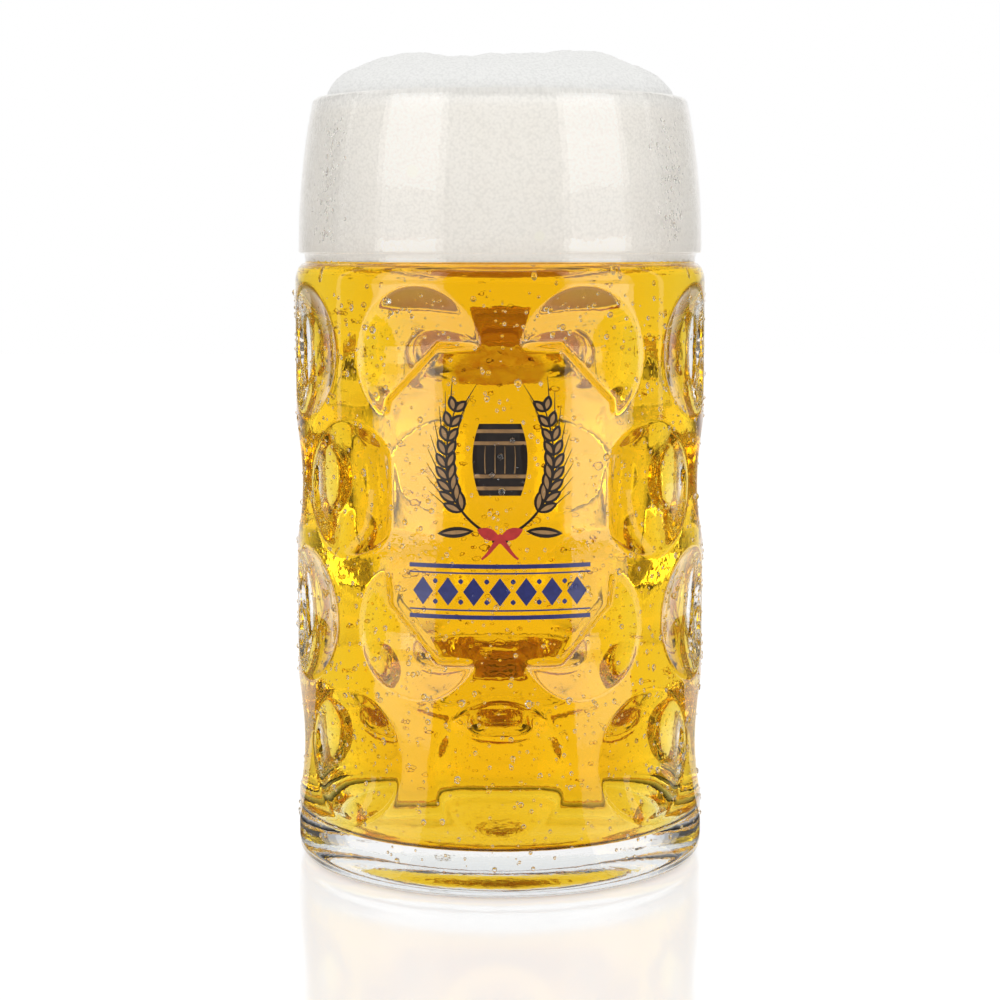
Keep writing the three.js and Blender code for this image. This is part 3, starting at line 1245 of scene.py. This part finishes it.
@dataclass
class FrontPrint:
    """A generic enamel print on the front panel: barley wreath, barrel, ribbon and an ornamental band.

    Outlines are drawn flat, across and up, and are then laid round the wall. A heading is counted in
    degrees from straight up, clockwise. The stem, the blade and the ribbon's tail are those of the right
    side. A blade is its base across and up, its length and its width; a size is a length and a width.
    """

    wall: Wall
    lift: float = 0.04
    film: float = 0.05
    film_gap: float = 0.02
    center: float = 111.4
    leaf_steps: int = 8
    leaf_power: float = 0.8
    stroke_taper: float = 0.35
    bar_step: float = 2.0
    wreath_drop: float = 19.0
    stem: tuple[Point, ...] = ((-2.0, 0.0), (12.0, 4.0), (17.5, 17.0), (10.5, 35.0))
    stem_steps: int = 40
    stem_width: float = 0.8
    grain_from: int = 14
    grain_every: int = 3
    grain_tilt: float = 30.0
    grain_length: float = 5.6
    grain_shrink: float = 0.16
    grain_width: float = 2.5
    heart_inset: float = 0.8
    heart_shorter: float = 1.7
    heart_width: float = 1.1
    awn_inset: float = 0.3
    awn_lean: float = 0.45
    awn_length: float = 5.0
    awn_width: float = 0.3
    blade_heading: float = 95.0
    blade: tuple[float, float, float, float] = (6.5, 2.6, 9.5, 2.8)
    blade_heart: tuple[float, float, float, float] = (7.7, 2.5, 7.0, 1.0)
    barrel_rise: float = 1.5
    barrel_half_height: float = 9.0
    barrel_half_width: float = 5.2
    barrel_belly: float = 1.7
    barrel_steps: int = 12
    hoops: tuple[float, ...] = (-7.6, -4.6, 3.7, 6.7)
    hoop_height: float = 0.9
    staves: tuple[float, ...] = (-0.55, -0.18, 0.18, 0.55)
    stave_half: float = 3.4
    stave_width: float = 0.28
    stave_steps: int = 6
    ribbon_drop: float = 18.3
    bow_heading: float = 68.0
    bow_size: Point = (6.2, 3.0)
    tail: tuple[Point, ...] = ((0.0, 0.0), (2.0, -2.0), (2.4, -3.6), (4.6, -5.2))
    tail_steps: int = 8
    tail_width: float = 1.5
    knot_drop: float = 1.3
    knot_size: Point = (2.6, 2.4)
    band_center: float = 79.6
    band_half_width: float = 23.5
    band_rules: tuple[Point, ...] = ((-7.0, 1.1), (5.9, 1.1), (-4.9, 0.4), (4.5, 0.4))
    lozenge_half_count: int = 3
    lozenge_pitch: float = 6.6
    lozenge_half: Point = (2.7, 3.6)
    dot_level: float = 2.6
    dot_size: Point = (1.4, 1.3)
    shapes: dict[Ink, list[list[Point]]] = field(default_factory=dict)

    def add(self, ink: Ink, outline: list[Point]) -> None:
        """Adds one outline in a colour."""
        self.shapes.setdefault(ink, []).append(outline)

    @staticmethod
    def ahead(start: Point, heading: float, distance: float) -> Point:
        """The point at a distance from start in a heading."""
        turn = math.radians(heading)
        return start[0] + math.sin(turn) * distance, start[1] + math.cos(turn) * distance

    def leaf(self, ink: Ink, base: Point, heading: float, length: float, width: float) -> None:
        """Adds a pointed oval, as a grain or a leaf.

        Args:
            ink: Its colour.
            base: Where it starts.
            heading: Its direction.
            length: Its length.
            width: Its greatest width.
        """
        out = np.linspace(0.0, 1.0, self.leaf_steps + 1)
        half = np.sin(np.pi * out) ** self.leaf_power * width / 2.0
        share = np.concatenate([out, out[-2:0:-1]])
        aside = np.concatenate([half, -half[-2:0:-1]])
        sine, cosine = math.sin(math.radians(heading)), math.cos(math.radians(heading))
        across = base[0] + sine * length * share + cosine * aside
        up = base[1] + cosine * length * share - sine * aside
        self.add(ink, list(zip(across.tolist(), up.tolist())))

    def stroke(self, ink: Ink, points: np.ndarray, width: float) -> None:
        """Adds a line that tapers to its far end, one piece for each step.

        Args:
            ink: Its colour.
            points: Points that it follows.
            width: Its width at the start.
        """
        along = directions(points)
        half = np.linspace(width, self.stroke_taper * width, len(points))[:, None] / 2.0
        aside = np.stack([along[:, 1], -along[:, 0]], axis=1) * half
        left, right = (points - aside).tolist(), (points + aside).tolist()
        for step in range(len(points) - 1):
            self.add(ink, [left[step], right[step], right[step + 1], left[step + 1]])

    def bar(self, ink: Ink, low: float, high: float) -> None:
        """Adds a level bar as wide as the band, in short pieces that can follow the wall.

        Args:
            ink: Its colour.
            low: Height of its lower edge.
            high: Height of its upper edge.
        """
        half = self.band_half_width
        edges = np.linspace(-half, half, round(2.0 * half / self.bar_step) + 1).tolist()
        for start, end in zip(edges, edges[1:]):
            self.add(ink, [(start, low), (end, low), (end, high), (start, high)])

    def barley(self, side: float) -> None:
        """Adds one ear of barley with its stem, bending up one side of the wreath.

        Args:
            side: -1 for the left ear, 1 for the right.
        """
        low = self.center - self.wreath_drop
        stem = curve(self.stem_steps, *((side * across, low + up) for across, up in self.stem))
        self.stroke(Ink.BROWN, stem, self.stem_width)
        along = directions(stem)
        for grain, step in enumerate(range(self.grain_from, self.stem_steps + 1, self.grain_every)):
            base = tuple(stem[step].tolist())
            heading = math.degrees(math.atan2(*along[step]))
            length = self.grain_length - self.grain_shrink * grain
            for tilt in (-self.grain_tilt, self.grain_tilt):
                turned = heading + tilt
                heart = self.ahead(base, turned, self.heart_inset)
                tip = self.ahead(base, turned, length - self.awn_inset)
                awn = self.ahead(tip, heading + self.awn_lean * tilt, self.awn_length)
                self.leaf(Ink.BROWN, base, turned, length, self.grain_width)
                self.leaf(Ink.GOLD, heart, turned, length - self.heart_shorter, self.heart_width)
                self.stroke(Ink.BROWN, np.array([tip, awn]), self.awn_width)
        for ink, (across, up, length, width) in ((Ink.BROWN, self.blade), (Ink.GOLD, self.blade_heart)):
            self.leaf(ink, (side * across, low + up), side * self.blade_heading, length, width)

    def barrel_edge(self, up: float) -> float:
        """Half width of the barrel at a height from its middle."""
        return self.barrel_half_width + self.barrel_belly * (1.0 - (up / self.barrel_half_height) ** 2)

    def barrel(self) -> None:
        """Adds the standing barrel in the middle of the wreath, with hoops and staves."""
        middle = self.center + self.barrel_rise
        body = np.linspace(-self.barrel_half_height, self.barrel_half_height, self.barrel_steps + 1)
        bands = [(Ink.BROWN, body), *((Ink.GOLD, (low, low + self.hoop_height)) for low in self.hoops)]
        for ink, levels in bands:
            right = [(self.barrel_edge(up), middle + up) for up in levels]
            left = [(-across, up) for across, up in reversed(right)]
            self.add(ink, right + left)
        for share in self.staves:
            levels = np.linspace(-self.stave_half, self.stave_half, self.stave_steps + 1)
            stave = np.stack([share * self.barrel_edge(levels), middle + levels], axis=1)
            self.stroke(Ink.GOLD, stave, self.stave_width)

    def ribbon(self) -> None:
        """Adds the ribbon that ties the two stems."""
        low = self.center - self.ribbon_drop
        for side in (-1.0, 1.0):
            self.leaf(Ink.RED, (0.0, low), side * self.bow_heading, *self.bow_size)
            tail = curve(self.tail_steps, *((side * across, low + up) for across, up in self.tail))
            self.stroke(Ink.RED, tail, self.tail_width)
        self.leaf(Ink.RED, (0.0, low - self.knot_drop), 0.0, *self.knot_size)

    def band(self) -> None:
        """Adds the navy band under the wreath: rules, lozenges and dots."""
        middle = self.band_center
        for low, thick in self.band_rules:
            self.bar(Ink.NAVY, middle + low, middle + low + thick)
        wide, tall = self.lozenge_half
        count = self.lozenge_half_count
        for place in range(-count, count + 1):
            u = place * self.lozenge_pitch
            left, right = (u - wide, middle), (u + wide, middle)
            self.add(Ink.NAVY, [left, (u, middle - tall), right, (u, middle + tall)])
        for place in range(-count, count):
            u = (place + 0.5) * self.lozenge_pitch
            for level in (-self.dot_level, self.dot_level):
                self.leaf(Ink.NAVY, (u, middle + level - self.dot_size[0] / 2.0), 0.0, *self.dot_size)

    def lay(self, ink: Ink, lift: float) -> Piece:
        """Lays all the outlines of one colour round the wall as a thin film.

        Args:
            ink: The colour.
            lift: Height of the film's underside above the glass.

        Returns:
            The film.
        """
        points, faces = [], []
        for outline in self.shapes[ink]:
            area = sum(a[0] * b[1] - b[0] * a[1] for a, b in zip(outline, outline[1:] + outline[:1]))
            order = range(len(points), len(points) + len(outline))
            faces.append(tuple(order if area > 0.0 else reversed(order)))
            points += outline
        across, up = np.array(points).T
        places = round_axis(self.wall.radius + lift, across / self.wall.radius, up)
        piece = mesh_object(f"print_{ink.name.lower()}", places, faces, smooth=False)
        film = piece.modifiers.new("film", "SOLIDIFY")
        film.thickness = self.film * MM
        film.offset = 1.0
        return piece

    def build(self) -> dict[Ink, Piece]:
        """Draws the design and lays each colour on the panel, gold and red over brown.

        Returns:
            The film of each colour.
        """
        for side in (-1.0, 1.0):
            self.barley(side)
        self.barrel()
        self.ribbon()
        self.band()
        over = self.lift + self.film + self.film_gap
        lifts = {Ink.BROWN: self.lift, Ink.NAVY: self.lift, Ink.GOLD: over, Ink.RED: over + self.film}
        return {ink: self.lay(ink, lift) for ink, lift in lifts.items()}

    def dress(self, pieces: dict[Ink, Piece], effects: EffectGroups) -> None:
        """Gives each colour of the print its enamel."""
        for ink, piece in pieces.items():
            dress(piece, EnamelFinish(ink).material(effects), Slot.PRINT)


@dataclass
class Condensation:
    """Drops of water on the outside of the cold glass."""

    wall: Wall
    seed: int = 41
    body_drops: int = 2800
    body_clear: Point = (4.0, 2.0)
    body_largest: float = 1.0
    body_log_size: float = -0.95
    dew_drops: int = 320
    dew_clear: Point = (3.0, 5.0)
    dew_largest: float = 0.75
    dew_log_size: float = -1.15
    dew_turn: float = math.radians(56.0)
    dew_spread: float = 0.06
    log_spread: float = 0.4
    tallness: Point = (0.6, 0.9)
    sagging: Point = (0.0, 0.4)
    rim_depth: float = 0.03
    foot_depth: float = 0.12
    around: int = 10
    rings: int = 3

    def drop(self, angle: float, height: float, radius: float, stand: float, sag: float) -> np.ndarray:
        """Points of one closed drop that sits on the wall.

        Args:
            angle: Its angle round the mug.
            height: Its height above the table.
            radius: Its radius.
            stand: How far it stands out.
            sag: How much longer it is downwards than across.

        Returns:
            Array of points: the rings, the tip and the foot inside the wall.
        """
        center, normal = self.wall.outside_seat(angle, height)
        side = Vector((0.0, 0.0, 1.0)).cross(normal).normalized()
        up = normal.cross(side)
        lean = 0.5 * np.pi * np.arange(1, self.rings + 1)[:, None] / self.rings
        turn = turns(self.around)
        across = radius * np.sin(lean) * np.cos(turn)
        rise = radius * np.sin(lean) * np.sin(turn) * (1.0 + sag * np.maximum(0.0, -np.sin(turn)))
        out = stand * np.cos(lean) - self.rim_depth
        rings = np.stack(np.broadcast_arrays(across, rise, out), axis=2).reshape(-1, 3)
        shape = np.concatenate([rings, [(0.0, 0.0, stand), (0.0, 0.0, -self.foot_depth)]])
        return np.array(center) + shape @ np.array([side, up, normal])

    def places(self) -> Iterator[tuple[float, float, float]]:
        """Places the drops by a seeded draw: all over the body, and dew at both sides of the collar.

        Returns:
            Angle, height and radius of each drop.
        """
        draw = random.Random(self.seed)
        w = self.wall
        for _ in range(self.body_drops):
            angle = draw.uniform(-math.pi, math.pi)
            height = draw.uniform(w.heel + self.body_clear[0], w.shoulder - self.body_clear[1])
            radius = draw.lognormvariate(self.body_log_size, self.log_spread)
            yield angle, height, min(self.body_largest, radius)
        for _ in range(self.dew_drops):
            angle = draw.choice((-1.0, 1.0)) * draw.gauss(self.dew_turn, self.dew_spread)
            height = draw.uniform(w.collar + self.dew_clear[0], w.lip - self.dew_clear[1])
            radius = draw.lognormvariate(self.dew_log_size, self.log_spread)
            yield angle, height, min(self.dew_largest, radius)

    def build(self) -> Piece:
        """Makes all the drops as one piece.

        Returns:
            The drops.
        """
        draw = random.Random(self.seed + 1)
        shapes = []
        for angle, height, radius in self.places():
            stand = radius * draw.uniform(*self.tallness)
            shapes.append(self.drop(angle, height, radius, stand, draw.uniform(*self.sagging)))
        faces = [face[::-1] for face in closed_faces(self.rings, self.around)]
        return scattered_object("condensation_drops", shapes, faces)

    def dress(self, piece: Piece, material: Material) -> None:
        """Gives the drops their water."""
        dress(piece, material, Slot.WATER)


# Stage


@dataclass
class Studio:
    """Plain pale floor, white surround, softboxes, screens that only glass sees, and the camera.

    Angles are degrees from the front. A level of light is counted from the surround, which is 1.
    """

    camera_distance: float = 633.6
    camera_height: float = 165.3
    aim_height: float = 96.9
    lens_mm: float = 83.97
    surround_light: float = 0.96
    floor_half: float = 3000.0
    floor_glow: float = 0.72
    floor_bounce: float = 0.6
    floor_gloss: float = 0.22
    floor_roughness: float = 0.12
    floor_matte: float = 0.12
    shade_from: float = 44.0
    shade_to: float = 56.0
    gloss_until: float = 140.0
    gloss_end: float = 260.0
    softbox_away: float = 750.0
    softbox_headings: tuple[tuple[str, float], ...] = (("left", -51.0), ("right", 55.0))
    softbox_strips: tuple[tuple[float, float, float], ...] = (
        (-285.0, -225.0, 0.5), (-225.0, 225.0, 1.0), (225.0, 285.0, 0.5))
    softbox_parts: tuple[tuple[str, float, float, float], ...] = (
        ("low", 2.0, 185.0, 3.6), ("middle", 185.0, 300.0, 1.25), ("high", 300.0, 800.0, 2.6))
    scattered_light: float = 1.08
    screen_steps: int = 24
    screen_foot: float = 1.0
    screen_away: float = 1000.0
    screen_height: float = 1100.0
    front_turn: float = 96.0
    front_light: float = 0.06
    front_through: float = 0.3
    side_away: float = 600.0
    side_height: float = 700.0
    side_screens: tuple[tuple[float, float, float], ...] = (
        (98.0, 138.0, 0.05), (138.0, 142.0, 0.3), (142.0, 146.0, 0.55), (146.0, 150.0, 0.8))
    mat_turn: float = 118.0
    mat_from: float = 60.0
    mat_through: float = 0.5
    mat_level: float = 0.5
    gleam_turn: float = 17.0
    gleams: tuple[tuple[float, float, float], ...] = ((60.0, 230.0, 1.0), (230.0, 740.0, 1.8))
    gleam_level: float = 0.8
    all_bounces: int = 48
    foam_bounces: int = 24
    glass_bounces: int = 32

    def view_rays(self, graph: Graph) -> Socket:
        """A mask that is 1 for rays that show the background: straight, mirrored or through glass.

        Args:
            graph: The graph to add it to.

        Returns:
            The mask.
        """
        path = graph.add("LightPath").outputs
        mirrored = graph.math("MAXIMUM", path["Is Camera Ray"], path["Is Glossy Ray"])
        return graph.math("MAXIMUM", mirrored, path["Is Transmission Ray"])

    def surround(self) -> None:
        """White surround that lights the mug at a plain level."""
        world = bpy.data.worlds.new("white_surround")
        bpy.context.scene.world = world
        world.use_nodes = True
        graph = Graph(world.node_tree)
        level = graph.ramp(self.view_rays(graph), target=(self.surround_light, 1.0))
        graph.feed(world.node_tree.nodes["Background"], {"Color": WHITE, "Strength": level})

    def floor(self) -> None:
        """Pale floor, polished near the mug, that mirrors it faintly and keeps its shadow.

        Its own glow stops under the mug, where no light reaches a real floor.
        """
        half = self.floor_half
        corners = [(-half, -half, 0.0), (half, -half, 0.0), (half, half, 0.0), (-half, half, 0.0)]
        piece = mesh_object("floor", np.array(corners), [(0, 1, 2, 3)], smooth=False)
        material, graph = start_glow("pale_floor")
        away = graph.vector("LENGTH", graph.place()).outputs["Value"]
        near = (self.gloss_until * MM, self.gloss_end * MM)
        polish = graph.ramp(away, near, (self.floor_gloss, 0.0), smooth=True)
        seen = graph.ramp(self.view_rays(graph), target=(self.floor_bounce, self.floor_glow))
        whole = graph.math("ADD", seen, graph.math("SUBTRACT", self.floor_gloss, polish))
        shade = graph.ramp(away, (self.shade_from * MM, self.shade_to * MM), smooth=True)
        matte = graph.add("BsdfDiffuse", {"Color": (self.floor_matte,) * 3})
        gloss = graph.add("BsdfGlossy", {"Color": polish, "Roughness": self.floor_roughness})
        glow = graph.add("Emission", {"Strength": graph.math("MULTIPLY", whole, shade)})
        lit = graph.add("AddShader", {0: matte.outputs[0], 1: gloss.outputs[0]})
        graph.surface(graph.add("AddShader", {0: lit.outputs[0], 1: glow.outputs[0]}))
        piece.data.materials.append(material)

    def softbox(self, name: str, place: Vector, aim: Vector, size: Point, light: float) -> None:
        """Adds one softbox.

        Args:
            name: Its name.
            place: Where it stands, in millimetres.
            aim: The point that it faces, in millimetres.
            size: Its width and height in millimetres.
            light: How bright it is.
        """
        data = bpy.data.lights.new(name, "AREA")
        data.shape = "RECTANGLE"
        data.size = size[0] * MM
        data.size_y = size[1] * MM
        data.energy = light * math.pi * data.size * data.size_y
        lamp = new_object(name, data)
        aim_at(lamp, place, aim)
        lamp.visible_camera = False
        lamp.visible_diffuse = False

    def lights(self) -> None:
        """Two wide softboxes in front, which show as soft bands in the glass.

        Each is made of several lamps side by side: brighter near the floor, and dimmer towards its sides.
        """
        for side, heading in self.softbox_headings:
            turn = math.radians(heading)
            out = Vector((math.sin(turn), -math.cos(turn), 0.0))
            along = Vector((math.cos(turn), math.sin(turn), 0.0))
            for part, low, high, light in self.softbox_parts:
                for number, (start, end, share) in enumerate(self.softbox_strips):
                    aim = along * (start + end) / 2.0 + Vector((0.0, 0.0, (low + high) / 2.0))
                    place = aim + out * self.softbox_away
                    name = f"softbox_{side}_{part}_{number}"
                    self.softbox(name, place, aim, (end - start, high - low), light * share)

    def screen_material(self, name: str, light: float, through: float) -> Material:
        """Makes a finish that glass sees from its front.

        Light that the foam has scattered finds it about as bright as the surround.

        Args:
            name: Its name.
            light: How bright it is when mirrored.
            through: How bright it is through glass.

        Returns:
            The material.
        """
        material, graph = start_glow(name)
        path = graph.add("LightPath").outputs
        seen = graph.ramp(path["Is Transmission Ray"], target=(light, through))
        level = graph.ramp(path["Diffuse Depth"], target=(seen, self.scattered_light))
        glow = graph.add("Emission", {"Strength": level})
        behind = graph.add("NewGeometry").outputs["Backfacing"]
        clear = graph.add("BsdfTransparent")
        graph.surface(graph.add("MixShader", {0: behind, 1: glow.outputs[0], 2: clear.outputs[0]}))
        return material

    def screen(self, name: str, span: Point, rows: list[Point], light: float, through: float) -> None:
        """Adds a curved screen, upright or lying on the floor, that only glass sees.

        Args:
            name: Its name.
            span: Where it starts and ends.
            rows: Distance from the axis and height of its upper or outer edge, and of the other one.
            light: How bright it is when mirrored.
            through: How bright it is through glass.
        """
        steps = self.screen_steps
        angle = np.radians(np.linspace(max(span), min(span), steps + 1))
        corners = np.concatenate([round_axis(away, angle, level) for away, level in rows])
        faces = [(step, steps + step + 1, steps + step + 2, step + 1) for step in range(steps)]
        card = mesh_object(name, corners, faces, smooth=False)
        card.data.materials.append(self.screen_material(name, light, through))
        card.visible_camera = False
        card.visible_diffuse = False
        card.visible_shadow = False

    def screens(self) -> None:
        """Dim screens in front and at the sides, and the softboxes' gleam on the floor in front."""
        upright = [(self.screen_away, self.screen_height), (self.screen_away, self.screen_foot)]
        beside = [(self.side_away, self.side_height), (self.side_away, self.screen_foot)]
        lying = [(self.screen_away, self.mat_level), (self.mat_from, self.mat_level)]
        front = (-self.front_turn, self.front_turn)
        self.screen("front_screen", front, upright, self.front_light, self.front_through)
        self.screen("front_mat", (-self.mat_turn, self.mat_turn), lying, self.front_light, self.mat_through)
        for side, heading in self.softbox_headings:
            span = (heading - self.gleam_turn, heading + self.gleam_turn)
            for number, (inner, outer, light) in enumerate(self.gleams):
                strip = [(outer, self.gleam_level), (inner, self.gleam_level)]
                self.screen(f"{side}_gleam_{number}", span, strip, light, self.mat_through)
            hand = math.copysign(1.0, heading)
            for number, (start, end, light) in enumerate(self.side_screens):
                self.screen(f"{side}_screen_{number}", (hand * start, hand * end), beside, light, light)

    def camera(self) -> None:
        """Camera at the photograph's viewing angle."""
        data = bpy.data.cameras.new("camera")
        data.lens = self.lens_mm
        camera = new_object("camera", data)
        place = Vector((0.0, -self.camera_distance, self.camera_height))
        aim_at(camera, place, Vector((0.0, 0.0, self.aim_height)))
        bpy.context.scene.camera = camera

    def build(self) -> None:
        """Sets up the whole stage."""
        scene = bpy.context.scene
        scene.view_settings.view_transform = "Standard"
        scene.cycles.use_denoising = True
        scene.cycles.max_bounces = self.all_bounces
        scene.cycles.diffuse_bounces = self.foam_bounces
        scene.cycles.glossy_bounces = self.glass_bounces
        scene.cycles.transmission_bounces = self.glass_bounces
        self.surround()
        self.floor()
        self.lights()
        self.screens()
        self.camera()


def main() -> None:
    """Builds the stage and every piece of the mug, and dresses them."""
    logging.basicConfig(level=logging.INFO, format="%(name)s: %(message)s")
    Studio().build()
    effects = EffectGroups.build()
    wall = Wall()
    tint = {"absorb_color": (0.987, 0.868, 0.0), "absorb_density": 58.0, "cloud": 0.98}
    ripples = {"wave_scale": 500.0, "wave_height": 0.00005}
    dewy = DewyGlassFinish("dewy_glass", GLASS_IOR).material(effects)
    wetted = ClearFinish("wetted_glass", GLASS_IOR / BEER_IOR, wave_strength=0.6).material(effects)
    # The handle's glass, with painted shade at its upper root.
    clear = RootShadedGlassFinish("clear_glass", GLASS_IOR).material(effects)
    golden = ClearFinish("golden_beer", 1.0, **tint).material(effects)
    water = ClearFinish("water", WATER_IOR, **ripples).material(effects)
    bubble = ClearFinish("bubble_skin", BUBBLE_IOR, **ripples).material(effects)

    vessel = MugGlass(wall)
    vessel.dress(vessel.build(), dewy, wetted)
    handle = LoopHandle(wall)
    handle.dress(handle.build(), clear)
    beer = Beer(wall)
    beer.dress(beer.build(), golden)
    bubbles = BeerBubbles(wall)
    bubbles.dress(bubbles.build(), bubble)
    foam = FoamHead(wall)
    foam.dress(foam.build(), FoamFinish().material(effects))
    front = FrontPrint(wall)
    front.dress(front.build(), effects)
    drops = Condensation(wall)
    drops.dress(drops.build(), water)


if __name__ == "__main__":
    main()
